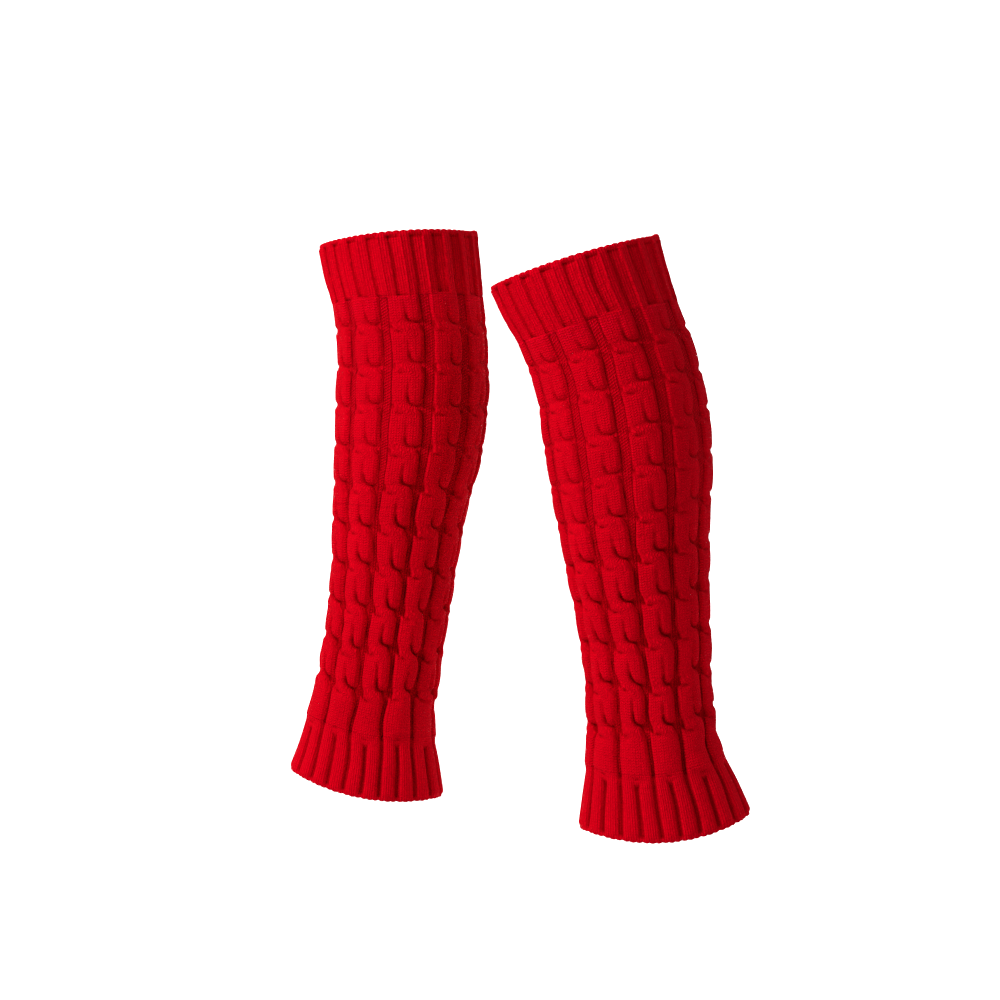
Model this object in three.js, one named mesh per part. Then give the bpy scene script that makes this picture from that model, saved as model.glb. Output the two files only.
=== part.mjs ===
// A pair of cable-knit leg warmers as worn, with nobody in them: two open knitted tubes that reach from
// just under the knee to the ankle. Each tube has a ribbed cuff above, a leg of rope cables with plain
// channels between them, and a ribbed cuff below that flares over the heel and the instep.
//
// Millimetres, +Z up. The wearer faces -Y, with their left side towards +X. The left leg is behind, with its
// knee bent, and the right leg is in front. The origin is the middle of the left one's top opening, where
// the wearer's leg holds it up.

import * as THREE from "three";

// The knit, measured down the leg from the top edge.
const LENGTH = 450;
const TOP_CUFF = 51;
const BOTTOM_CUFF = 50;
const FIRST_CROSSING = 73;
const CROSSING_PITCH = 32.4;
const CROSSINGS = 10;
const SEAM_GAP = 0.3;

// The knit, round the leg. One repeat is a cable and the channel beside it, or two ribs.
const REPEATS = 11;
const WALL = 2.2;
const CABLE_WIDTH = 23.5;
const CABLE_RISE = 4;
const RIB_RISE = 2.5;

// The smooth inside has fewer points than the outside. Its rings start this share of a repeat from the
// middle of the first cable.
const INSIDE_SHARE = 1 / 4;
const INSIDE_STEP = 32;
const INSIDE_START = -0.36;

// Each row is a ring of the tube under its cables and ribs.
//   down: distance from the top edge, along the knit
//   x, y, z: the ring's middle
//   pitch: degrees by which the ring's back is raised over its front
//   depth, width: half sizes from front to back and from side to side
//   lift: how far the ring's two sides are raised over its front and back
const LEFT_LEG = [
  { down: 0, x: 0, y: 0, z: 0, pitch: 17, depth: 64.2, width: 60, lift: 2 },
  { down: 27, x: 0, y: 9, z: -24.5, pitch: 16, depth: 62, width: 59.5, lift: 1.5 },
  { down: 54, x: 0, y: 19.5, z: -48.5, pitch: 15, depth: 59.4, width: 58.5, lift: 1 },
  { down: 90, x: 0, y: 31.5, z: -81, pitch: 14, depth: 59.4, width: 57.5, lift: 0 },
  { down: 135, x: 0, y: 40, z: -123.5, pitch: 13, depth: 61, width: 57.5, lift: -1 },
  { down: 180, x: -1, y: 45, z: -166.5, pitch: 12, depth: 59, width: 56, lift: -2 },
  { down: 225, x: -2, y: 48, z: -209.5, pitch: 11, depth: 53, width: 50.5, lift: -3 },
  { down: 270, x: -3, y: 52, z: -252.5, pitch: 9.8, depth: 48.2, width: 44, lift: -4 },
  { down: 315, x: -4, y: 56, z: -295.5, pitch: 8.4, depth: 45.2, width: 38, lift: -5.5 },
  { down: 360, x: -5, y: 58.5, z: -339, pitch: 6.7, depth: 44.6, width: 35.5, lift: -7.5 },
  { down: 396, x: -5.5, y: 61.5, z: -374, pitch: 5.4, depth: 48.6, width: 37, lift: -9.5 },
  { down: 423, x: -6, y: 66, z: -399.5, pitch: 5, depth: 56.4, width: 40, lift: -11 },
  { down: 450, x: -6, y: 70, z: -425.5, pitch: 4.7, depth: 64, width: 42.5, lift: -13 },
];
const RIGHT_LEG = [
  { down: 0, x: -165, y: -138, z: 27.5, pitch: 4.7, depth: 60.6, width: 60, lift: 3 },
  { down: 27, x: -165, y: -134, z: 1.5, pitch: 3.7, depth: 59.4, width: 59.5, lift: 2.5 },
  { down: 54, x: -165, y: -129.5, z: -24.5, pitch: 2.6, depth: 57, width: 58.5, lift: 2 },
  { down: 90, x: -165, y: -126, z: -59.5, pitch: 1.3, depth: 57, width: 57.5, lift: 1 },
  { down: 135, x: -165, y: -126.5, z: -103.5, pitch: -0.2, depth: 58, width: 57.5, lift: 0 },
  { down: 180, x: -164, y: -130, z: -147, pitch: -1.6, depth: 55.2, width: 56, lift: -1 },
  { down: 225, x: -163, y: -136.5, z: -190, pitch: -2.6, depth: 49.2, width: 50.5, lift: -2 },
  { down: 270, x: -162, y: -141, z: -234, pitch: -4.2, depth: 45.8, width: 44, lift: -3 },
  { down: 315, x: -161, y: -146.5, z: -277.5, pitch: -6.1, depth: 44.2, width: 38, lift: -4 },
  { down: 360, x: -160, y: -153, z: -321, pitch: -8.1, depth: 44.4, width: 35.5, lift: -5.5 },
  { down: 396, x: -159.5, y: -158.5, z: -355.5, pitch: -9.6, depth: 47.4, width: 37, lift: -7 },
  { down: 423, x: -159, y: -160, z: -381.5, pitch: -9.9, depth: 53.4, width: 40, lift: -8.5 },
  { down: 450, x: -159, y: -162.5, z: -407, pitch: -10.3, depth: 60.2, width: 42.5, lift: -9.5 },
];

// turn: degrees from the wearer's left side to the middle of the first cable, round by the back.
const LEGS = [
  { side: "left", sections: LEFT_LEG, turn: 11 },
  { side: "right", sections: RIGHT_LEG, turn: -2 },
];

// A repeat seen from outside: seven columns of points stand across the cable, here as shares of half its
// width from its middle, and an eighth down the middle of the channel. Cables keep their width, and the
// channels take up the change from calf to ankle. A cable's half width is at most WIDEST_HALF of a repeat.
const CABLE_COLUMNS = [-1, -0.8, -0.42, 0, 0.42, 0.8, 1];
const WIDEST_HALF = 0.44;
// Three rows of points make one crossing, where the left strand passes over the right one.
//   drop: how far each column's point is below the crossing, as shares of the crossing pitch
//   rise: how high it stands, as shares of the cable's height
const CROSSING_ROWS = [
  {
    // The right strand tucks under.
    drop: [-0.12, -0.22, -0.2, -0.2, -0.07, 0, 0, -0.06],
    rise: [0, 0.75, 1, 0.5, 0.3, 0.1, 0, 0],
  },
  {
    // The left strand passes over.
    drop: [0.1, 0.1, 0.12, 0.07, 0.14, 0.2, 0.18, 0.14],
    rise: [0, 0.2, 0.5, 1.05, 1, 0.7, 0, 0.1],
  },
  {
    // Both run side by side.
    drop: [0.45, 0.42, 0.42, 0.42, 0.68, 0.72, 0.6, 0.52],
    rise: [0, 0.65, 0.9, 0.5, 1.1, 0.85, 0, 0],
  },
];
const CABLE_START = [0, 0.7, 0.85, 0.85, 0.85, 0.7, 0, 0];
const CABLE_END = [0, 0.75, 0.9, 0.7, 0.9, 0.75, 0, 0];

// A repeat of ribbing is a pair of ribs, whose eight columns are a foot and a top on each side of each rib.
//   down: distance from the top edge
//   channel: half the width of the channels between ribs, as a share of the repeat
//   rib: height of the ribs' tops
//   inner, outer: height of the channel floor inside a rib pair, and between pairs
// RIB_SLOPE is the share of the repeat from a rib's foot to its top.
const RIB_SLOPE = 0.065;
const TOP_CUFF_ROWS = [
  { down: 0, channel: 0.09, rib: 1.6, inner: 1.3, outer: 1.3 },
  { down: 3.5, channel: 0.1, rib: 2.3, inner: 0.3, outer: 0.3 },
  { down: 14, channel: 0.11, rib: RIB_RISE, inner: 0, outer: 0 },
  { down: 32, channel: 0.11, rib: RIB_RISE, inner: 0, outer: 0 },
  { down: TOP_CUFF - SEAM_GAP / 2, channel: 0.1, rib: 2.9, inner: 0.2, outer: 0 },
];
const BOTTOM_CUFF_ROWS = [
  { down: LENGTH - BOTTOM_CUFF + SEAM_GAP / 2, channel: 0.08, rib: 3.2, inner: 2.6, outer: 0 },
  { down: 409, channel: 0.06, rib: 2.8, inner: 0.4, outer: 0 },
  { down: 421, channel: 0.06, rib: RIB_RISE, inner: 0, outer: 0 },
  { down: 436, channel: 0.06, rib: RIB_RISE, inner: 0, outer: 0 },
  { down: LENGTH, channel: 0.06, rib: 2.2, inner: 0.3, outer: 0.3 },
];

const YARN_RED = 0xc4001c;

// One column of a leg's section table at any distance down, on a smooth curve through the rows.
function sectionValue(sections, column, down) {
  const last = sections.length - 2;
  const found = sections.findIndex((row) => row.down > down) - 1;
  const i = found < 0 ? last : Math.min(found, last);
  const slopeAt = (k) => {
    const before = sections[Math.max(k - 1, 0)];
    const after = sections[Math.min(k + 1, sections.length - 1)];
    return (after[column] - before[column]) / (after.down - before.down);
  };
  const span = sections[i + 1].down - sections[i].down;
  const t = (down - sections[i].down) / span;
  const t2 = t * t;
  const t3 = t2 * t;
  return (
    (2 * t3 - 3 * t2 + 1) * sections[i][column] +
    (t3 - 2 * t2 + t) * span * slopeAt(i) +
    (3 * t2 - 2 * t3) * sections[i + 1][column] +
    (t3 - t2) * span * slopeAt(i + 1)
  );
}

// The point on a leg at a distance down the knit, a number of repeats round it, and a height over the wall.
function knitPoint(leg, down, repeats, rise) {
  const value = (column) => sectionValue(leg.sections, column, down);
  const depth = value("depth");
  const width = value("width");
  // Repeats are evenly spread along the ring, so their angle is corrected for the ring being an ellipse.
  const even = THREE.MathUtils.degToRad(leg.turn + (360 * repeats) / REPEATS);
  const angle = even - ((depth - width) / (depth + width) / 2) * Math.sin(2 * even);
  const pitch = THREE.MathUtils.degToRad(value("pitch"));
  const back = new THREE.Vector3(0, Math.cos(pitch), Math.sin(pitch));
  const up = new THREE.Vector3(0, -Math.sin(pitch), Math.cos(pitch));
  const outwards = new THREE.Vector3(Math.cos(angle) / width, 0, 0)
    .addScaledVector(back, Math.sin(angle) / depth)
    .normalize();
  return new THREE.Vector3(value("x"), value("y"), value("z"))
    .add(new THREE.Vector3(width * Math.cos(angle), 0, 0))
    .addScaledVector(back, depth * Math.sin(angle))
    .addScaledVector(up, value("lift") * Math.cos(angle) ** 2)
    .addScaledVector(outwards, rise);
}

// A ring of the outside. profile holds one repeat's columns: { at, down, rise }.
function outsideRing(leg, profile) {
  const ring = [];
  for (let repeat = 0; repeat < REPEATS; repeat++) {
    profile.forEach(({ at, down, rise }) => ring.push(knitPoint(leg, down, repeat + at, rise)));
  }
  return ring;
}

function insideRing(leg, down, count) {
  const ring = [];
  for (let i = 0; i < count; i++) {
    ring.push(knitPoint(leg, down, (i * REPEATS) / count + INSIDE_START, -WALL));
  }
  return ring;
}

// A closed tube wall. outside and inside are lists of rings from the top down.
function tubeWall(outside, inside) {
  const points = [];
  const faces = [];
  const addRings = (rings) =>
    rings.map((ring) => ring.map((point) => points.push(point.x, point.y, point.z) / 3 - 1));
  const skin = (rings, flip) => {
    for (let r = 0; r + 1 < rings.length; r++) {
      const count = rings[r].length;
      for (let i = 0; i < count; i++) {
        const j = (i + 1) % count;
        const [a, b, c, d] = [rings[r][i], rings[r][j], rings[r + 1][i], rings[r + 1][j]];
        faces.push(...(flip ? [a, b, c, b, d, c] : [a, c, b, b, c, d]));
      }
    }
  };
  const edge = (outer, inner, flip) => {
    const share = outer.length / inner.length;
    inner.forEach((point, i) => {
      const next = inner[(i + 1) % inner.length];
      for (let k = i * share; k < (i + 1) * share; k++) {
        const [a, b] = [outer[k], outer[(k + 1) % outer.length]];
        faces.push(...(flip ? [point, b, a] : [point, a, b]));
      }
      const corner = outer[((i + 1) * share) % outer.length];
      faces.push(...(flip ? [point, next, corner] : [point, corner, next]));
    });
  };
  const outer = addRings(outside);
  const inner = addRings(inside);
  skin(outer, false);
  skin(inner, true);
  edge(outer[0], inner[0], false);
  edge(outer.at(-1), inner.at(-1), true);
  return new THREE.BufferGeometry()
    .setAttribute("position", new THREE.Float32BufferAttribute(points, 3))
    .setIndex(faces);
}

// The inside of a stretch of knit, in even steps from one end to the other.
function insideRings(leg, from, to, outsideCount) {
  const steps = Math.max(2, Math.round((to - from) / INSIDE_STEP));
  const rings = [];
  for (let i = 0; i <= steps; i++) {
    rings.push(insideRing(leg, from + ((to - from) * i) / steps, outsideCount * INSIDE_SHARE));
  }
  return rings;
}

function ribProfile({ down, channel, rib, inner, outer }) {
  const half = 0.5;
  return [
    { at: channel - half, rise: outer },
    { at: channel + RIB_SLOPE - half, rise: rib },
    { at: -channel - RIB_SLOPE, rise: rib },
    { at: -channel, rise: inner },
    { at: channel, rise: inner },
    { at: channel + RIB_SLOPE, rise: rib },
    { at: half - channel - RIB_SLOPE, rise: rib },
    { at: half - channel, rise: outer },
  ].map((column) => ({ ...column, down }));
}

function ribbedCuff(leg, rows) {
  const outside = rows.map((row) => outsideRing(leg, ribProfile(row)));
  return tubeWall(outside, insideRings(leg, rows[0].down, rows.at(-1).down, outside[0].length));
}

// Half the width of a cable, as a share of the repeat at that distance down.
function cableHalf(leg, down) {
  const value = (column) => sectionValue(leg.sections, column, down);
  const repeat = (Math.PI * (value("depth") + value("width"))) / REPEATS;
  return Math.min(CABLE_WIDTH / 2 / repeat, WIDEST_HALF);
}

function cableLeg(leg) {
  const top = TOP_CUFF + SEAM_GAP / 2;
  const bottom = LENGTH - BOTTOM_CUFF - SEAM_GAP / 2;
  const rowOf = (downs, rises) =>
    downs.map((down, i) => {
      const at = i < CABLE_COLUMNS.length ? CABLE_COLUMNS[i] * cableHalf(leg, down) : 0.5;
      return { at, down, rise: rises[i] * CABLE_RISE };
    });
  const straightRow = (down, rises) => rowOf(rises.map(() => down), rises);
  const profiles = [straightRow(top, CABLE_START)];
  for (let crossing = 0; crossing < CROSSINGS; crossing++) {
    const down = FIRST_CROSSING + crossing * CROSSING_PITCH;
    CROSSING_ROWS.forEach(({ drop, rise }) => {
      const downs = drop.map((share) => down + share * CROSSING_PITCH);
      profiles.push(rowOf(downs, rise));
    });
  }
  profiles.push(straightRow(bottom, CABLE_END));
  const outside = profiles.map((profile) => outsideRing(leg, profile));
  return tubeWall(outside, insideRings(leg, top, bottom, outside[0].length));
}

const yarn = new THREE.MeshStandardMaterial({ color: YARN_RED, roughness: 0.9, metalness: 0 });

const pair = new THREE.Group();
LEGS.forEach((leg) => {
  const legWarmer = new THREE.Group();
  const addPiece = (piece, geometry) => {
    const mesh = new THREE.Mesh(geometry, yarn.clone());
    mesh.name = `${leg.side}_${piece}`;
    legWarmer.add(mesh);
  };
  addPiece("top_cuff", ribbedCuff(leg, TOP_CUFF_ROWS));
  addPiece("cable_leg", cableLeg(leg));
  addPiece("bottom_cuff", ribbedCuff(leg, BOTTOM_CUFF_ROWS));
  pair.add(legWarmer);
});

export default pair;
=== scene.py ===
"""A pair of cable-knit leg warmers as worn, with nobody in them, in crimson acrylic yarn.

Each leg warmer is one knitted tube in four meshes: a ribbed top cuff, the upper and the lower half of its
cable leg, and a ribbed bottom cuff. Sizes are in millimetres until shell_mesh turns them into metres. The
flat widths of the pieces, the material, the lights and the studio are in metres.
"""

import math

import bpy
import numpy as np
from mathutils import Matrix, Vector


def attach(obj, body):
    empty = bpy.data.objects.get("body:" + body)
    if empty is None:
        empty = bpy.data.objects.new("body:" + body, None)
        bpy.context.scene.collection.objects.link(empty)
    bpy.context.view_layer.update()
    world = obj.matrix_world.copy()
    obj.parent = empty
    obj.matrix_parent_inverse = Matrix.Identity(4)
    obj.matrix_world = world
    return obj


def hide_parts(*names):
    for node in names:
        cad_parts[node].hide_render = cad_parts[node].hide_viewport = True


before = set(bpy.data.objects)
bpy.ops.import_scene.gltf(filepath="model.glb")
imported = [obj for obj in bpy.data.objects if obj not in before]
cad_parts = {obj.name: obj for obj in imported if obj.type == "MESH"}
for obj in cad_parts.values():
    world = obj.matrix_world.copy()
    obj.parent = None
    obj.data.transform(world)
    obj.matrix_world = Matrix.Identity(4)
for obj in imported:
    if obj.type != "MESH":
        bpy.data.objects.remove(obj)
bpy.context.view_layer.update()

MM = 0.001

# The knit, down the leg from the top edge.
LENGTH = 450
TOP_CUFF = 51
BOTTOM_CUFF = 50
LEG_END = LENGTH - BOTTOM_CUFF
FIRST_CROSSING = 73
CROSSING_PITCH = 32.4
CROSSINGS = 10
ROW = CROSSING_PITCH / 16
MIDDLE = FIRST_CROSSING + 4.55 * CROSSING_PITCH

# The knit, round the leg: a repeat is a cable and the channel beside it, or two ribs. It has this many
# stitches in a channel's gauge and in a cuff's.
REPEATS = 11
CHANNEL_STITCHES = 16
RIB_STITCHES = 8

# Thickness: the wall, and how far the plain knit, the crests of the ribs and the cables stand over it.
WALL = 2.2
PLAIN_RISE = 0.4
RIB_CREST = 2.9
CABLE_RISE = 4.0

# Fineness of the meshes. The inside takes one of so many of the outside's columns, and has longer rows.
COLUMNS_PER_REPEAT = 40
ROW_STEP = 0.95
INSIDE_SHARE = 4
INSIDE_STEP = 6.5
# The rim and the hem curl over between inside, at 180 degrees, and outside, and bulge no further than this.
CURL = (180, 150, 120, 95, 70, 45, 22)
WIDEST_CURL = 2.4

# Each row is a ring of the tube under its cables and ribs: distance down the knit, its middle's x, y and z,
# the degrees by which its back is raised over its front, its half sizes from front to back and from side to
# side, and how far its two sides are raised over its front and back.
SECTION_COLUMNS = ("down", "x", "y", "z", "pitch", "depth", "width", "lift")
LEFT_LEG = [
    (0, 0, 0, 0, 17, 64.2, 60, 2),
    (27, 0, 9, -24.5, 16, 62, 59.5, 1.5),
    (54, 0, 19.5, -48.5, 15, 59.4, 58.5, 1),
    (90, 0, 31.5, -81, 14, 59.4, 57.5, 0),
    (135, 0, 40, -123.5, 13, 61, 57.5, -1),
    (180, -1, 45, -166.5, 12, 59, 56, -2),
    (225, -2, 48, -209.5, 11, 53, 50.5, -3),
    (270, -3, 52, -252.5, 9.8, 48.2, 44, -4),
    (315, -4, 56, -295.5, 8.4, 45.2, 38, -5.5),
    (360, -5, 58.5, -339, 6.7, 44.6, 35.5, -7.5),
    (396, -5.5, 61.5, -374, 5.4, 48.6, 37, -9.5),
    (423, -6, 66, -399.5, 5, 56.4, 40, -11),
    (450, -6, 70, -425.5, 4.7, 64, 42.5, -13),
]
RIGHT_LEG = [
    (0, -165, -138, 27.5, 4.7, 60.6, 60, 3),
    (27, -165, -134, 1.5, 3.7, 59.4, 59.5, 2.5),
    (54, -165, -129.5, -24.5, 2.6, 57, 58.5, 2),
    (90, -165, -126, -59.5, 1.3, 57, 57.5, 1),
    (135, -165, -126.5, -103.5, -0.2, 58, 57.5, 0),
    (180, -164, -130, -147, -1.6, 55.2, 56, -1),
    (225, -163, -136.5, -190, -2.6, 49.2, 50.5, -2),
    (270, -162, -141, -234, -4.2, 45.8, 44, -3),
    (315, -161, -146.5, -277.5, -6.1, 44.2, 38, -4),
    (360, -160, -153, -321, -8.1, 44.4, 35.5, -5.5),
    (396, -159.5, -158.5, -355.5, -9.6, 47.4, 37, -7),
    (423, -159, -160, -381.5, -9.9, 53.4, 40, -8.5),
    (450, -159, -162.5, -407, -10.3, 60.2, 42.5, -9.5),
]
# Each leg: its sections, and the degrees from the wearer's left to the middle of its first cable.
LEGS = {"left": (LEFT_LEG, 11), "right": (RIGHT_LEG, -2)}


def smooth(t):
    """0 to 1 as t goes from 0 to 1, level at both ends."""
    t = np.clip(t, 0, 1)
    return t * t * (3 - 2 * t)


def hump(t):
    """1 at 0, falling off on both sides."""
    return np.exp(-t * t)


def wave(turns):
    """A sine of a number of whole turns."""
    return np.sin(2 * np.pi * turns)


# ---------------------------------------------------------------- the tube


def section_values(sections, down):
    """Every column of a section table at the distances down, on a smooth curve through its rows."""
    table = np.array(sections, float)
    at = table[:, 0]
    slopes = np.gradient(table, axis=0) / np.gradient(at)[:, None]
    i = np.clip(np.searchsorted(at, down, side="right") - 1, 0, len(at) - 2)
    span = (at[i + 1] - at[i])[..., None]
    t = (down - at[i])[..., None] / span
    values = (
        (2 * t**3 - 3 * t**2 + 1) * table[i]
        + (t**3 - 2 * t**2 + t) * span * slopes[i]
        + (3 * t**2 - 2 * t**3) * table[i + 1]
        + (t**3 - t**2) * span * slopes[i + 1]
    )
    return dict(zip(SECTION_COLUMNS, np.moveaxis(values, -1, 0)))


def knit_points(leg, down, repeats, rise):
    """Points at distances down the knit, numbers of repeats round it and heights over the wall."""
    sections, turn = LEGS[leg]
    v = section_values(sections, down)
    depth, width = v["depth"], v["width"]
    # The repeats are spread evenly along the ellipse, not by angle.
    even = np.radians(turn + 360 * repeats / REPEATS)
    angle = even - (depth - width) / (depth + width) / 2 * np.sin(2 * even)
    pitch = np.radians(v["pitch"])
    zero = np.zeros_like(pitch)
    back = np.stack([zero, np.cos(pitch), np.sin(pitch)], -1)
    up = np.stack([zero, -np.sin(pitch), np.cos(pitch)], -1)
    side = np.array([1.0, 0, 0])
    out_side, out_back = np.cos(angle) / width, np.sin(angle) / depth
    size = np.hypot(out_side, out_back)
    along_side = width * np.cos(angle) + rise * out_side / size
    along_back = depth * np.sin(angle) + rise * out_back / size
    lift = v["lift"] * np.cos(angle) ** 2
    middle = np.stack([v["x"], v["y"], v["z"]], -1)
    return (
        middle
        + along_side[..., None] * side
        + along_back[..., None] * back
        + lift[..., None] * up
    )


# ---------------------------------------------------------------- the stitches
#
# A cable is made of strands, six stitches wide. Strand n comes out on the left under crossing n, runs down
# the left, passes over to the right at crossing n + 1, runs down the right, and tucks under at crossing
# n + 2. Its travel counts crossings from where it starts. Places across a cable are in millimetres from its
# middle line to the right, as if the cable had its full width.

CABLE_WIDTH = 25.2
HALF_CABLE = CABLE_WIDTH / 2
# Half a strand's width, in millimetres and in columns of stitches.
STRAND_HALF = 6.2
COLUMNS_PER_HALF = 1.5
# A cable takes at most this share of a repeat on each side, and is tight from the second share on.
WIDEST_HALF = 0.445
TIGHT_FROM = 0.38
# The travel over which a strand crosses from left to right.
OVER_START, OVER_END = 0.9, 1.34
# A strand's end: half its width, and the share of a crossing from which it rounds off, and over which.
TIP_HALF = 5.9
TIP_START, TIP_ROUND = 0.8, 0.2
LONGEST_CUT = 4.8
# Where, below a crossing, the strand that comes out is first seen at the left edge.
TUCKS_UNDER = 0.17


def strand_path(travel, stays):
    """A strand's sideways place, its slope and its half width along its travel."""
    span = OVER_END - OVER_START
    t = np.where(stays, 0, np.clip((travel - OVER_START) / span, 0, 1))
    place = STRAND_HALF * (2 * t * t * (3 - 2 * t) - 1)
    slope = STRAND_HALF * 12 * t * (1 - t) / (span * CROSSING_PITCH)
    half = STRAND_HALF * np.sqrt(1 + slope**2)
    return place, slope, half


def tip_groove(across, travel):
    """The hook-shaped groove round a strand's end, 1 at its deepest. Its travel is 1 where it tucks under."""
    sideways = (across - HALF_CABLE + TIP_HALF) / TIP_HALF
    tuck = np.maximum(0, travel - TIP_START) / TIP_ROUND
    power = np.where(sideways < 0, 2.0, 2.4)
    reach = (np.abs(sideways) ** power + tuck**power) ** (1 / power)
    inside = np.clip((reach - 0.3) / 0.7, 0, 1) ** 1.6
    valley = np.where(reach < 1, inside, 1 - smooth((reach - 1) / 0.4))
    deepness = 0.42 * smooth((travel - 0.3) / 0.3) + 0.58 * smooth((travel - 0.66) / 0.2)
    return valley * deepness


def cable(across, crossings, squeeze):
    """The cable's height as a share of its rise, and the strand that shows at each point."""
    crossing = np.clip(np.floor(crossings), -1, CROSSINGS - 1)
    below = crossings - crossing
    crossed = crossing >= 0
    last = crossing == CROSSINGS - 1

    # The strand that passes over has a round shoulder on its right, a round end, and swings away from the
    # left edge.
    shoulder = np.clip(1 - below / (0.36 + 0.14 * squeeze), 0, 1)
    shoulder_width = 5.8 + 1.6 * squeeze
    rounded = shoulder_width * (1 - np.sqrt(1 - shoulder**2)) + 0.5 * (1 - below)
    tip = np.clip((below - TIP_START) / TIP_ROUND, 0, 1)
    cut = np.minimum(TIP_HALF * (1 - (1 - tip**2.4) ** (1 / 2.4)), LONGEST_CUT)
    right_edge = HALF_CABLE - rounded * crossed - cut * ~last
    from_left = across + HALF_CABLE
    tucks = TUCKS_UNDER + 0.08 * np.clip(from_left / 11.5, 0, 1.2)
    swing = np.where(below > tucks, below, below + 1)
    swings = np.where(below > tucks, ~last, crossed)
    left_edge = -HALF_CABLE + (2.4 + 0.8 * squeeze) * smooth((swing - 0.72) / 0.44) * swings
    right_side = np.clip((right_edge - across) / (3.2 + squeeze), 0, 1)
    left_side = np.clip((across - left_edge) / 2.0, 0, 1)
    body = np.sqrt((1 - (1 - right_side) ** 2) * (1 - (1 - left_side) ** 2))
    height = 0.96 - (0.26 + 0.2 * squeeze) * (across / HALF_CABLE) ** 2
    height = height - 0.06 * wave(below + 0.2) * crossed * ~last
    from_crossing = crossings - np.clip(np.round(crossings), 0, CROSSINGS - 1)
    height = height - 0.14 * (1 - 0.8 * squeeze) * hump((from_crossing + 0.02) / 0.06)
    # The stitches along its two edges stand up a little.
    height = height + 0.07 * hump((right_edge - across - 2.2) / 1.0)
    height = height + 0.07 * hump((across - left_edge - 1.5) / 0.9)

    # The end of the strand above tucks under the one that passes over.
    groove = tip_groove(across, below) * ~last
    groove = np.maximum(groove, tip_groove(across, below + 1) * crossed)
    height = height * (1 - (0.68 + 0.1 * squeeze) * groove)
    over = hump((below - 0.13) / 0.09) * crossed
    height = height + 0.12 * over * (1 - groove)

    # The next strand comes out from under it on the left.
    past = (below - tucks) * CROSSING_PITCH
    dimple = np.where(past < 0, hump(past / 1.1), hump(past / 2.6))
    dimple = dimple * hump((from_left - 5.5) / 5.0) * crossed
    height = height * (1 - 0.5 * dimple)

    comes_out = (below > tucks) & (across < 0.6) | ~crossed & (across < 0)
    shown = np.where(comes_out, crossing, crossing - 1).astype(int)
    return height * body, shown


def top_rib(across):
    """The height of the top cuff as a share. A rib is steep on its left, where it is highest, and round on
    its right, and beyond that a low floor rises to the next rib."""
    place = 2 * across - np.floor(2 * across) - 0.5
    left, right, wall = 0.22, 0.16, 0.06
    rib = smooth((place + left + wall) / wall) * smooth((right + 2 * wall - place) / (2 * wall))
    rib = rib * (0.98 - 0.65 * np.clip(place + left, 0, 1))
    ridge = 0.26 * hump((place + left - 0.03) / 0.045)
    after = np.where(place > 0, place, place + 1) - right - 2 * wall
    floor = 0.14 + 0.3 * smooth(after / (1 - left - right - 3 * wall))
    floor = floor - 0.12 * hump(after / 0.06)
    return np.maximum(rib + ridge, floor)


def bottom_rib(across):
    """The height of the bottom cuff as a share: round ribs with narrow gutters between them."""
    place = 2 * across - np.floor(2 * across) - 0.5
    crown = np.sqrt(1 - (np.abs(place) / 0.56) ** 2.2)
    return crown * (1 - 0.9 * hump((0.5 - np.abs(place)) / 0.13))


def repeat_width(leg, down):
    """How wide a repeat is, in millimetres."""
    v = section_values(LEGS[leg][0], down)
    return math.pi * (v["depth"] + v["width"]) / REPEATS


def cable_half(leg, down):
    """Half a cable's width in repeats: its stitches keep their width, and the channels take up the rest."""
    return np.minimum(HALF_CABLE / repeat_width(leg, down), WIDEST_HALF)


def stitch_coordinates(repeats, down, shown, home, half_width):
    """Stitch columns and rows, which follow the strand that shows, in the repeat whose middle is home."""
    across = (repeats - home) / half_width * HALF_CABLE
    travel = (down - FIRST_CROSSING) / CROSSING_PITCH - shown
    place, slope, half = strand_path(travel, shown >= CROSSINGS - 1)
    column = (across - place) / half * COLUMNS_PER_HALF
    row = (down + 0.8 * slope * (across - place)) / ROW
    return column, row


# Where each leg's waves start, in turns.
WAVE_STARTS = {"left": 0.0, "right": 0.37}


def wander(leg, repeats, down):
    """How far hand-pulled stitches stray from even places, in repeats and in millimetres down."""
    turns = repeats / REPEATS
    start = WAVE_STARTS[leg]
    sideways = 0.012 * wave(3 * turns + down / 77 + start) + 0.010 * wave(7 * turns - down / 41 + start)
    lower = 1.0 * wave(5 * turns + down / 120 + start) + 0.7 * wave(2 * turns - down / 63 - start)
    # They stray further where the leg warmer bunches over the ankle.
    bunched = smooth((down - 240) / 90) * smooth((415 - down) / 30)
    sideways = sideways + 0.045 * bunched * wave(3 * turns + down / 68 + start)
    lower = lower + 2.2 * bunched * wave(4 * turns - down / 150 + start)
    return sideways, lower


def from_back(leg, repeats):
    """The share of the way round the leg from its back, negative towards the wearer's left."""
    turns = LEGS[leg][1] / 360 + repeats / REPEATS - 0.25
    return turns - np.round(turns)


# Soft folds where a leg warmer is slack: how far down it lies, the share of the way round from the back, half
# the share of the way round that it runs, how far down it slants in a whole turn, its half width and its
# depth.
FOLDS = {
    "left": [
        (352, 0.06, 0.10, 60, 6.0, 1.4),
        (384, -0.05, 0.11, -70, 6.5, 1.7),
        (371, -0.42, 0.12, 50, 6.0, 1.4),
        (328, 0.44, 0.10, -60, 6.0, 1.1),
        (150, 0.10, 0.12, 40, 7.0, 0.8),
    ],
    "right": [
        (340, -0.08, 0.11, 70, 6.0, 1.5),
        (376, 0.04, 0.12, -60, 6.5, 1.8),
        (362, 0.43, 0.11, -50, 6.0, 1.4),
        (318, -0.40, 0.12, 60, 6.0, 1.2),
        (140, -0.12, 0.12, -40, 7.0, 0.8),
    ],
}


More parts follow.
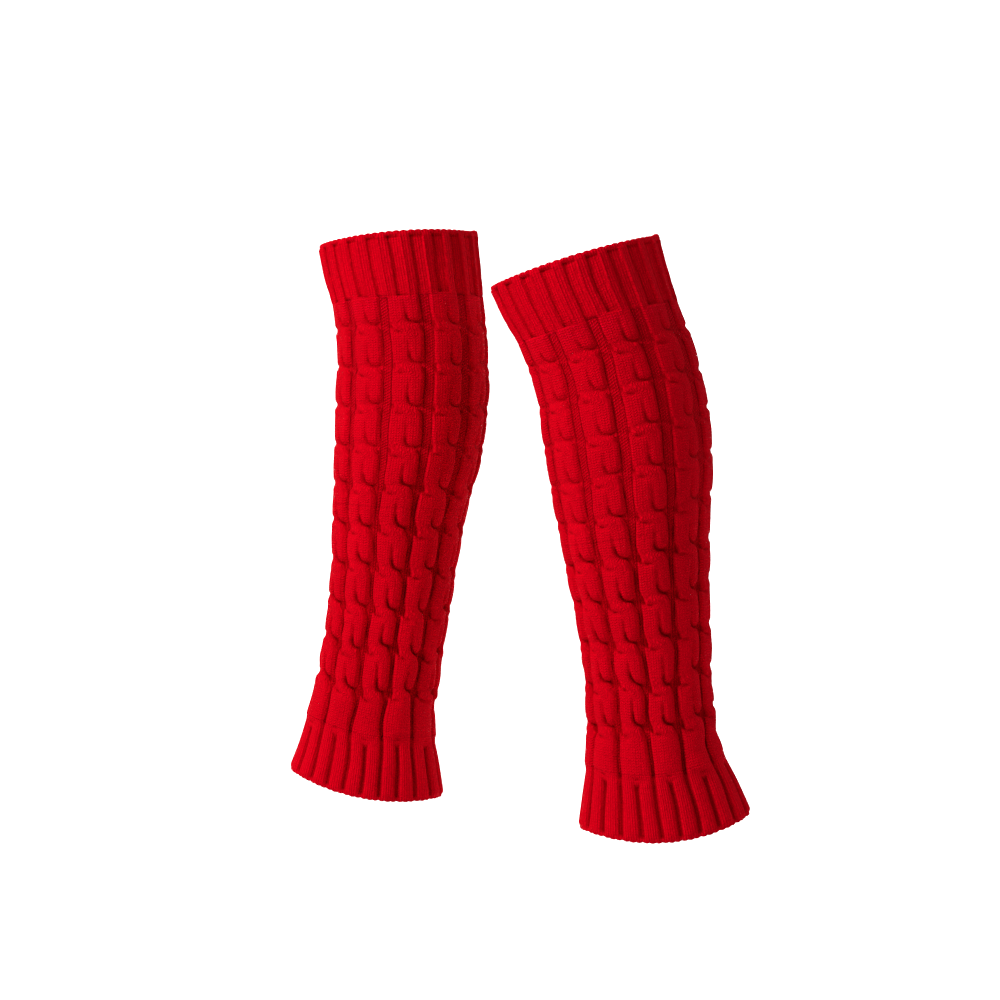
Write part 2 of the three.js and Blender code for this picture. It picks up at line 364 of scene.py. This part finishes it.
def slack_folds(leg, behind, down):
    """How deep the leg warmer's soft folds are."""
    depth = 0
    for at, place, half_run, slant, half_width, deep in FOLDS[leg]:
        away = behind - place
        away = away - np.round(away)
        trough = hump((down - at - slant * away) / half_width) * hump(away / half_run)
        depth = depth + deep * trough
    return depth


def scallop(repeats):
    """The small loops of a cast-on or cast-off edge, 0 between them and 1 at their tops."""
    return np.abs(wave(3 * repeats)) ** 0.7


def channel_height(over_channel, crossings, squeeze):
    """The height of a channel's floor, which is 0 across at the cable on its left and 1 at its right."""
    # It is lowest beside the cable on its left, and rises to the one on its right.
    floor = 0.1 + 0.8 * smooth((over_channel - 0.1) / 0.8) - 1.1 * squeeze
    # At each crossing the cables pull it up into a low bridge, with a pocket above and below it.
    from_bridge = crossings - 0.07 - 0.13 * np.clip(over_channel, 0, 1)
    bridge_number = np.round(from_bridge)
    from_bridge = from_bridge - bridge_number
    bridge = 0.9 * np.where(from_bridge < 0, hump(from_bridge / 0.07), hump(from_bridge / 0.05))
    pocket = -0.4 * hump((from_bridge - 0.11) / 0.06) - 0.3 * hump((from_bridge + 0.12) / 0.06)
    return floor + (bridge + pocket) * ((bridge_number >= 0) & (bridge_number < CROSSINGS))


def cuff_height(leg, across, down):
    """The height of the ribs, of the top cuff in the upper half and of the bottom cuff in the lower half."""
    above = down < LENGTH / 2
    floor = np.where(above, -0.2, -0.9)
    ribs = floor + (RIB_CREST - floor) * np.where(above, top_rib(across), bottom_rib(across))
    # The gutter between a cable's two ribs fills up towards the cable.
    filled_above = smooth((down - TOP_CUFF + 1.5) / 2.5) * above
    filled_below = smooth((LEG_END + 11 - down) / 8) * ~above
    middle_fill = smooth((0.25 - np.abs(across)) / 0.05) * np.maximum(filled_above, filled_below)
    ribs = np.maximum(ribs, middle_fill * 3.0)
    # In the bottom cuff it starts with a short dent.
    from_middle = across * repeat_width(leg, down)
    return ribs - 1.3 * hump((down - LEG_END - 3.0) / 1.1) * hump(from_middle / 2.6)


def finish_edges(leg, repeats, down, rise, rib_floor):
    """The rise as the bound edge of the rim and the cast-off edge of the hem change it."""
    bind = smooth((3.6 - down) / 1.2)
    rise = rise * (1 - bind) + (1.9 + 0.5 * scallop(repeats)) * bind
    rise = rise - 0.7 * hump((down - 4.6) / 1.0) * rib_floor
    hem = smooth((down - LENGTH + 5.0) / 3.2)
    rise = rise * (1 - 0.8 * hem) + 1.5 * hem
    # The rim flicks out behind, and the hem turns in, most of all behind.
    behind = from_back(leg, repeats)
    rise = rise + 2.0 * hump(behind / 0.03) * hump(down / 5)
    turned_in = np.clip((down - LENGTH + 8) / 8, 0, 1) ** 2
    return rise - (0.5 + 1.4 * hump(behind / 0.09)) * turned_in


def relief(leg, repeats, down):
    """The outside's height over the wall in millimetres, the strand that shows, and how far it is purl."""
    edge_down = down
    sideways, lower = wander(leg, repeats, down)
    repeats, down = repeats + sideways, down + lower
    across = repeats - np.floor(repeats + 0.5)
    half_width = cable_half(leg, down)
    crossings = (down - FIRST_CROSSING) / CROSSING_PITCH
    squeeze = smooth((half_width - TIGHT_FROM) / (WIDEST_HALF - TIGHT_FROM))
    height, shown = cable(across / half_width * HALF_CABLE, crossings, squeeze)
    lively = 0.9 + 0.32 * squeeze + 0.06 * wave(4 * repeats / REPEATS + down / 57)
    cable_height = CABLE_RISE * lively * height
    from_channel = np.where(across < 0, across + 0.5, across - 0.5)
    over_channel = from_channel / np.maximum(1 - 2 * half_width, 0.1) + 0.5
    cable_height = np.maximum(cable_height, channel_height(over_channel, crossings, squeeze))

    ribs = cuff_height(leg, across, down)
    top_part = smooth((TOP_CUFF + 1.5 - down) / 3)
    bottom_part = smooth((down - LEG_END + 3) / 7)
    cuff_part = np.maximum(top_part, bottom_part)
    rise = cable_height * (1 - cuff_part) + ribs * cuff_part + PLAIN_RISE

    # Channels are purl, cables and ribs are knit, and the low places between ribs are partly purl.
    cable_floor = smooth((np.abs(across) - half_width + 0.005) / 0.03)
    rib_floor = smooth((1.75 - ribs) / 0.75)
    purl_part = cable_floor * (1 - cuff_part) + 0.3 * rib_floor * cuff_part

    # The tube is drawn in a little at each crossing, most where it is tight.
    from_crossing = crossings - np.round(crossings) - 0.06
    crossed = (crossings > -0.5) & (crossings < CROSSINGS - 0.5)
    rise = rise - (0.3 + 0.3 * squeeze) * hump(from_crossing / 0.12) * crossed

    rise = finish_edges(leg, repeats, edge_down, rise, rib_floor)
    rise = rise - slack_folds(leg, from_back(leg, repeats), edge_down)
    return rise, shown, purl_part


# ---------------------------------------------------------------- meshes


def ring_faces(upper, lower, flip=False):
    """Quads between two rings of point numbers."""
    after_upper, after_lower = np.roll(upper, -1), np.roll(lower, -1)
    quads = np.stack([upper, lower, after_lower, after_upper], -1)
    return quads[:, ::-1] if flip else quads


def funnel_faces(fine, coarse, flip=False):
    """Triangles between a fine ring and a coarse one of a whole share of its points."""
    share = len(fine) // len(coarse)
    corner = np.repeat(coarse, share)
    fans = np.stack([corner, fine, np.roll(fine, -1)], -1)
    joins = np.stack([coarse, np.roll(fine, -share)[::share], np.roll(coarse, -1)], -1)
    faces = np.concatenate([fans, joins])
    return faces[:, ::-1] if flip else faces


def grooves(leg, down, repeats):
    """How far each point is below its surroundings, in millimetres, neighbouring pieces included; the yarn's
    painted shade in grooves follows it.
    """
    reaches = (2, 4)
    beyond = np.arange(1, sum(reaches) + 1) * (down[1] - down[0])
    wider = np.concatenate([down[0] - beyond[::-1], down, down[-1] + beyond])
    rise = relief(leg, *np.meshgrid(repeats, wider))[0]
    around = rise
    for reach in reaches:
        rows = [around[k : len(around) - 2 * reach + k] for k in range(2 * reach + 1)]
        around = np.mean(rows, axis=0)
        around = np.mean([np.roll(around, k, axis=1) for k in range(-reach, reach + 1)], axis=0)
    return np.clip(around - rise[len(beyond) : -len(beyond)], 0, None)


def outside_grid(leg, top, bottom):
    """What the outside is at each point, by name: a row for each ring and a column for each line down."""
    repeats = (np.arange(REPEATS * COLUMNS_PER_REPEAT) + 0.5) / COLUMNS_PER_REPEAT
    down = np.linspace(top, bottom, round((bottom - top) / ROW_STEP) + 1)
    down_grid, repeat_grid = np.meshgrid(down, repeats, indexing="ij")
    rise, shown, purl_part = relief(leg, repeat_grid, down_grid)
    return {
        "down": down_grid,
        "repeats": repeat_grid,
        "rise": rise,
        "shown": shown,
        "purl_part": purl_part,
        "groove": grooves(leg, down, repeats),
    }


def inside_grid(outside, top, bottom):
    """The same for the plain inside, which has a share of the outside's columns."""
    down = np.linspace(top, bottom, max(2, round((bottom - top) / INSIDE_STEP)) + 1)
    repeats = outside["repeats"][0, ::INSIDE_SHARE]
    down_grid, repeat_grid = np.meshgrid(down, repeats, indexing="ij")
    return {
        "down": down_grid,
        "repeats": repeat_grid,
        "rise": np.full_like(down_grid, -WALL),
        "shown": np.zeros(down_grid.shape, int),
        "purl_part": np.ones_like(down_grid),
        "groove": np.zeros_like(down_grid),
    }


def curl_over(leg, grid, way):
    """The grid with rings added that curl over to the inside, at its top (way -1) or its bottom (way 1)."""
    last = {name: values[0 if way < 0 else -1] for name, values in grid.items()}
    angles = np.radians(CURL if way < 0 else CURL[::-1])[:, None]
    edge = last["down"] + way * (0.8 * scallop(last["repeats"]) - 0.4)
    if way < 0:
        # The rim's corner behind stands up.
        edge = edge - 1.6 * hump(from_back(leg, last["repeats"]) / 0.03)
    radius = (last["rise"] + WALL) / 2
    added = {name: np.tile(values, (len(angles), 1)) for name, values in last.items()}
    added["down"] = edge + way * np.minimum(radius, WIDEST_CURL) * np.sin(angles)
    added["rise"] = last["rise"] - radius + radius * np.cos(angles)
    parts = (added, grid) if way < 0 else (grid, added)
    return {name: np.concatenate([part[name] for part in parts]) for name in grid}


def shell_mesh(name, outside, inside):
    """A closed mesh over two grids of points, and the point at each corner and at its face's first one."""
    outer = np.arange(outside[..., 0].size).reshape(outside.shape[:2])
    inner = outer.size + np.arange(inside[..., 0].size).reshape(inside.shape[:2])
    quads = [ring_faces(a, b) for a, b in zip(outer[:-1], outer[1:])]
    quads += [ring_faces(a, b, flip=True) for a, b in zip(inner[:-1], inner[1:])]
    quads = np.concatenate(quads)
    # The flat ends come first, so that the rings they share with the quads are shaded smoothly.
    ends = np.concatenate(
        [funnel_faces(outer[0], inner[0]), funnel_faces(outer[-1], inner[-1], flip=True)]
    )
    corners = np.concatenate([ends.ravel(), quads.ravel()])
    sizes = np.repeat([3, 4], [len(ends), len(quads)])
    starts = np.cumsum(sizes) - sizes

    mesh = bpy.data.meshes.new(name)
    points = np.concatenate([outside.reshape(-1, 3), inside.reshape(-1, 3)]) * MM
    mesh.vertices.add(len(points))
    mesh.vertices.foreach_set("co", points.ravel())
    mesh.loops.add(len(corners))
    mesh.loops.foreach_set("vertex_index", corners)
    mesh.polygons.add(len(sizes))
    mesh.polygons.foreach_set("loop_start", starts)
    mesh.update(calc_edges=True)
    mesh.polygons.foreach_set("use_smooth", sizes == 4)
    return mesh, corners, np.repeat(corners[starts], sizes)


def lay_stitches(mesh, leg, values, corners, first):
    """Stitch columns and rows as UVs. Each face keeps to its first corner's strand, so none is smeared."""
    repeats = values["repeats"][corners]
    wrapped = repeats < values["repeats"][first] - REPEATS / 2
    repeats = repeats + np.where(wrapped, REPEATS, 0)
    home = np.floor(values["repeats"][first] + 0.5)
    down = values["down"][corners]
    column, row = stitch_coordinates(repeats, down, values["shown"][first], home, cable_half(leg, down))
    in_leg = (values["down"][first] >= TOP_CUFF) & (values["down"][first] < LEG_END)
    in_cables = (values["purl_part"][first] < 0.5) & in_leg
    even_column = repeats * np.where(in_leg, CHANNEL_STITCHES, RIB_STITCHES) + 0.5
    column = np.where(in_cables, column, even_column)
    row = np.where(in_cables, row, down / ROW)
    uv = mesh.uv_layers.new(name="stitches")
    uv.data.foreach_set("uv", np.stack([column, row], -1).astype(np.float32).ravel())


def groove_shade_strength(leg, grid):
    """How strongly the painted shade in grooves darkens: less in the top cuff and in wide channels, more
    towards the hem.
    """
    wide = smooth((WIDEST_HALF - cable_half(leg, grid["down"])) / (WIDEST_HALF - TIGHT_FROM))
    strength = np.where(grid["down"] < TOP_CUFF, 0.85, 1 - 0.4 * wide * grid["purl_part"])
    return strength + 0.6 * smooth((grid["down"] - LEG_END) / 12)


def tube_piece(name, leg, top, bottom, round_top=False, round_bottom=False):
    """A closed shell: one stretch of a leg warmer, with its stitches outside and a plain inside."""
    outside = outside_grid(leg, top, bottom)
    inside = inside_grid(outside, top, bottom)
    if round_top:
        outside = curl_over(leg, outside, -1)
    if round_bottom:
        outside = curl_over(leg, outside, 1)
    outside["groove"] = outside["groove"] * groove_shade_strength(leg, outside)

    grids = (outside, inside)
    points = [knit_points(leg, grid["down"], grid["repeats"], grid["rise"]) for grid in grids]
    mesh, corners, first = shell_mesh(name, *points)
    values = {key: np.concatenate([grid[key].ravel() for grid in grids]) for key in outside}
    lay_stitches(mesh, leg, values, corners, first)
    # The inside gets the painted shade of knit that stands 1 mm over the wall.
    raised = np.concatenate([outside["rise"].ravel(), np.full(inside["rise"].size, 1.0)])
    # The groove and raised attributes set the painted shade in the yarn's colour.
    for key, value in (("channel", values["purl_part"]), ("groove", values["groove"]), ("raised", raised)):
        attribute = mesh.attributes.new(key, "FLOAT", "POINT")
        attribute.data.foreach_set("value", value.astype(np.float32))
    mesh.validate()

    piece = bpy.data.objects.new(name, mesh)
    bpy.context.collection.objects.link(piece)
    return piece


# ---------------------------------------------------------------- yarn


class Nodes:
    """Short ways to add and link the nodes of one material."""

    def __init__(self, name):
        self.material = bpy.data.materials.new(name)
        self.material.use_nodes = True
        self.tree = self.material.node_tree
        self.shader = self.tree.nodes["Principled BSDF"]

    def add(self, kind, inputs=None, **settings):
        """A new node, with its inputs by name or number."""
        made = self.tree.nodes.new("ShaderNode" + kind)
        for key, value in settings.items():
            setattr(made, key, value)
        for key, value in (inputs or {}).items():
            self.set(made.inputs[key], value)
        return made

    def set(self, socket, value):
        """Link a socket to another node's, or give it a value."""
        if isinstance(value, bpy.types.NodeSocket):
            self.tree.links.new(value, socket)
        else:
            socket.default_value = value

    def math(self, operation, *values):
        """A number worked out from others."""
        made = self.add("Math", operation=operation)
        for socket, value in zip(made.inputs, values):
            self.set(socket, value)
        return made.outputs[0]

    def noise(self, vector, scale, detail=2.0, roughness=0.5):
        """Smooth noise between 0 and 1."""
        inputs = {"Vector": vector, "Scale": scale, "Detail": detail, "Roughness": roughness}
        return self.add("TexNoise", inputs).outputs[0]

    def fit(self, value, low, high, to_low, to_high):
        """A number moved from one range to another, and kept inside it."""
        values = {"Value": value, "From Min": low, "From Max": high, "To Min": to_low, "To Max": to_high}
        return self.add("MapRange", values).outputs[0]

    def blend(self, factor, first, second):
        """A number between two others."""
        return self.add("Mix", {0: factor, 2: first, 3: second}).outputs[0]

    def mix(self, factor, first, second, blend_type="MIX"):
        """A colour mixed from two others."""
        inputs = {0: factor, 6: first, 7: second}
        return self.add("Mix", inputs, data_type="RGBA", blend_type=blend_type).outputs[2]


def yarn_material():
    """Crimson acrylic yarn, with its stitches in the bump and the colour, and painted shade and highlights in
    the colour.
    """
    n = Nodes("crimson_yarn")
    place = n.add("TexCoord").outputs["Object"]
    stitches = n.add("UVMap", uv_map="stitches").outputs[0]
    parts = n.add("SeparateXYZ", {0: stitches})
    column, row = parts.outputs[0], parts.outputs[1]
    channel = n.add("Attribute", attribute_name="channel").outputs["Fac"]
    raised = n.add("Attribute", attribute_name="raised").outputs["Fac"]
    groove = n.add("Attribute", attribute_name="groove").outputs["Fac"]

    # Knit stitches are Vs, and purl stitches in the channels are slanting bars.
    arm = n.math("PINGPONG", column, 0.5)
    vees = n.math("ADD", row, n.math("MULTIPLY", arm, 1.1))
    whole = n.math("FLOOR", column)
    stagger = n.math("FRACT", n.math("MULTIPLY", whole, 0.8))
    bars = n.math("ADD", n.math("MULTIPLY", row, 0.86), n.math("MULTIPLY", column, 0.62))
    bars = n.math("ADD", bars, stagger)
    in_channel = n.fit(channel, 0.2, 0.9, 0, 1)
    phase = n.blend(in_channel, vees, bars)
    loop = n.math("SINE", n.math("MULTIPLY", phase, 2 * math.pi))
    legs = n.math("SINE", n.math("MULTIPLY", arm, 2 * math.pi))
    gaps = n.math("SINE", n.math("MULTIPLY", arm, math.pi))
    legs = n.blend(in_channel, legs, gaps)
    # In the cuffs the rows are stretched smooth, and the columns show more.
    half_rows = (LEG_END - TOP_CUFF) / 2 / ROW
    from_middle = n.math("SUBTRACT", row, TOP_CUFF / ROW + half_rows)
    from_middle = n.math("ABSOLUTE", from_middle)
    between_rows = n.fit(from_middle, half_rows - 1, half_rows + 3, 0.2, 0.65)
    between_arms = n.fit(from_middle, half_rows - 1, half_rows + 3, 0.35, 0.08)
    loop = n.fit(loop, -1, 1, between_rows, 1)
    stitch = n.math("MULTIPLY", loop, n.fit(legs, 0, 1, between_arms, 1))
    fuzz = n.noise(place, 1100, 3, 0.65)
    lumps = n.noise(place, 320, 2, 0.5)
    stitch = n.math("MULTIPLY", stitch, n.fit(lumps, 0.35, 0.6, 0.55, 1.1))
    height = n.math("ADD", stitch, n.math("MULTIPLY", fuzz, 0.5))
    height = n.math("ADD", height, n.math("MULTIPLY", lumps, 0.4))
    height = n.math("MULTIPLY", height, n.fit(in_channel, 0, 1, 1, 1.8))
    bump = n.add("Bump", {"Strength": 0.9, "Distance": 0.0008, "Height": height})

    # Painted shade darkens deep places, painted highlights lighten the tops of the stitches, and the dye
    # varies a little.
    deep = (0.46, 0.0, 0.004, 1)
    bright = (0.60, 0.0, 0.008, 1)
    # Painted shade: the lower the knit stands over the wall, the darker its colour.
    colour = n.mix(n.fit(raised, -0.5, 1.2, 0.0, 1.0), deep, bright)
    # Painted highlight: the tops of the stitches are lighter.
    top_highlight = n.math("MULTIPLY", n.fit(stitch, 0.45, 0.9, 0, 1), n.fit(fuzz, 0.35, 0.65, 0.4, 1))
    colour = n.mix(n.math("MULTIPLY", top_highlight, 0.85), colour, (1.0, 0.0, 0.014, 1))
    # Painted shade darkens the pits between the purl stitches in the channels.
    pit_shade = n.math("MULTIPLY", n.fit(stitch, 0.15, 0.5, 1, 0), in_channel)
    colour = n.mix(n.math("MULTIPLY", pit_shade, 0.3), colour, (0.14, 0.0, 0.001, 1))
    # Where the cables start under the top cuff the stitches are pulled open, and a painted highlight lightens
    # their tops.
    open_stitch_highlight = n.math("ABSOLUTE", n.math("SUBTRACT", row, (TOP_CUFF + 5.5) / ROW))
    open_stitch_highlight = n.math("MULTIPLY", n.fit(open_stitch_highlight, 1.5, 4.5, 1, 0), n.fit(stitch, 0.5, 0.8, 0, 1))
    open_stitch_highlight = n.math("MULTIPLY", open_stitch_highlight, n.fit(lumps, 0.4, 0.6, 0.1, 1))
    colour = n.mix(n.math("MULTIPLY", open_stitch_highlight, 0.5), colour, (1.0, 0.0, 0.03, 1))
    # Painted shade darkens the grooves, the deeper the darker.
    colour = n.mix(n.fit(groove, 0.25, 1.9, 0, 0.72), colour, (0.12, 0.0, 0.0005, 1))
    dye = n.fit(n.noise(place, 22, 3, 0.5), 0.3, 0.7, 0.93, 1.05)
    grey = n.add("CombineXYZ", {0: dye, 1: dye, 2: dye}).outputs[0]
    colour = n.mix(1.0, colour, grey, "MULTIPLY")
    n.set(n.shader.inputs["Base Color"], colour)
    n.set(n.shader.inputs["Normal"], bump.outputs[0])
    rough = n.fit(n.noise(place, 500, 2, 0.5), 0.3, 0.7, 0.78, 0.92)
    n.set(n.shader.inputs["Roughness"], rough)
    n.shader.inputs["Specular IOR Level"].default_value = 0.02
    n.shader.inputs["Specular Tint"].default_value = (1.0, 0.0, 0.02, 1)
    n.shader.inputs["Sheen Weight"].default_value = 0.08
    n.shader.inputs["Sheen Roughness"].default_value = 0.5
    n.shader.inputs["Sheen Tint"].default_value = (1.0, 0.0, 0.01, 1)
    return n.material


def pale_material():
    """Matt paper, nearly white."""
    n = Nodes("pale_paper")
    n.shader.inputs["Base Color"].default_value = (0.9, 0.9, 0.9, 1)
    n.shader.inputs["Roughness"].default_value = 0.9
    n.shader.inputs["Specular IOR Level"].default_value = 0.0
    return n.material


# ---------------------------------------------------------------- the pair

yarn = yarn_material()
# Each piece: the CAD node it stands for, where it starts and ends down the knit, and its flat width.
PIECES = [
    ("top_cuff", "top_cuff", 0, TOP_CUFF, 0.36),
    ("upper_leg", "cable_leg", TOP_CUFF, MIDDLE, 0.355),
    ("lower_leg", "cable_leg", MIDDLE, LEG_END, 0.28),
    ("bottom_cuff", "bottom_cuff", LEG_END, LENGTH, 0.295),
]
# The rim and the hem curl over within about this much of the knit.
EDGE = 2.0
for leg in LEGS:
    for name, node, top, bottom, width in PIECES:
        rim, hem = name == "top_cuff", name == "bottom_cuff"
        piece = tube_piece(
            f"{leg}_{name}_knit",
            leg,
            top + (EDGE if rim else 0),
            bottom - (EDGE if hem else 0),
            round_top=rim,
            round_bottom=hem,
        )
        piece.data.materials.append(yarn)
        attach(piece, "root")
        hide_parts(f"{leg}_{node}")

# ---------------------------------------------------------------- the studio

# The paper's floor, where it starts and where it begins to bend up, its bend, its top, and half its width.
FLOOR = -0.85
FLOOR_START, BEND_START = 1.5, -2.9
BEND_RADIUS = 0.6
PAPER_TOP = 1.1
HALF_PAPER = 1.4


def studio():
    """A pale paper sweep: a floor that curves up into a wall behind the pair."""
    profile = [(FLOOR_START, FLOOR), (BEND_START, FLOOR)]
    profile += [
        (BEND_START - BEND_RADIUS * math.sin(a), FLOOR + BEND_RADIUS - BEND_RADIUS * math.cos(a))
        for a in np.linspace(0, math.pi / 2, 13)[1:]
    ]
    profile += [(BEND_START - BEND_RADIUS, PAPER_TOP)]
    mesh = bpy.data.meshes.new("paper_sweep")
    points = [(x, y, z) for x, z in profile for y in (-HALF_PAPER, HALF_PAPER)]
    faces = [(2 * i, 2 * i + 1, 2 * i + 3, 2 * i + 2) for i in range(len(profile) - 1)]
    mesh.from_pydata(points, [], faces)
    mesh.polygons.foreach_set("use_smooth", [True] * len(faces))
    mesh.materials.append(pale_material())
    sweep = bpy.data.objects.new("paper_sweep", mesh)
    bpy.context.collection.objects.link(sweep)


def soft_light(name, place, target, size, power):
    """A square white area light that the camera doesn't see."""
    light = bpy.data.lights.new(name, "AREA")
    light.shape = "SQUARE"
    light.size = size
    light.energy = power
    holder = bpy.data.objects.new(name, light)
    bpy.context.collection.objects.link(holder)
    holder.location = place
    holder.visible_camera = False
    look_at(holder, target)


def look_at(item, target):
    """Turn a light or a camera to a point."""
    away = Vector(item.location) - Vector(target)
    item.rotation_euler = away.to_track_quat("Z", "Y").to_euler()


studio()
MIDDLE_OF_PAIR = (-0.08, -0.05, -0.2)
soft_light("key", (0.98, -1.8, 1.3), MIDDLE_OF_PAIR, 0.9, 59)
soft_light("fill", (2.6, 1.3, 1.5), MIDDLE_OF_PAIR, 1.2, 12)
soft_light("wall_left", (-1.5, -2.2, 1.0), (-3.5, -0.9, 0.0), 1.5, 96)
soft_light("wall_right", (-1.5, 2.2, 1.0), (-3.5, 0.9, 0.0), 1.5, 140)

world = bpy.data.worlds.new("soft_room")
world.use_nodes = True
world.node_tree.nodes["Background"].inputs["Color"].default_value = (1, 1, 1, 1)
world.node_tree.nodes["Background"].inputs["Strength"].default_value = 0.26

scene = bpy.context.scene
scene.world = world
scene.view_settings.view_transform = "Standard"

# The camera looks level at the pair from the wearer's left side.
CAMERA_DISTANCE = 3.135
VIEW_Y, VIEW_Z = -0.0559, -0.1809
camera = bpy.data.objects.new("camera", bpy.data.cameras.new("camera"))
bpy.context.collection.objects.link(camera)
camera.location = (CAMERA_DISTANCE, VIEW_Y, VIEW_Z)
look_at(camera, (0, VIEW_Y, VIEW_Z))
camera.data.lens = 148.5
camera.data.sensor_width = 36
scene.camera = camera
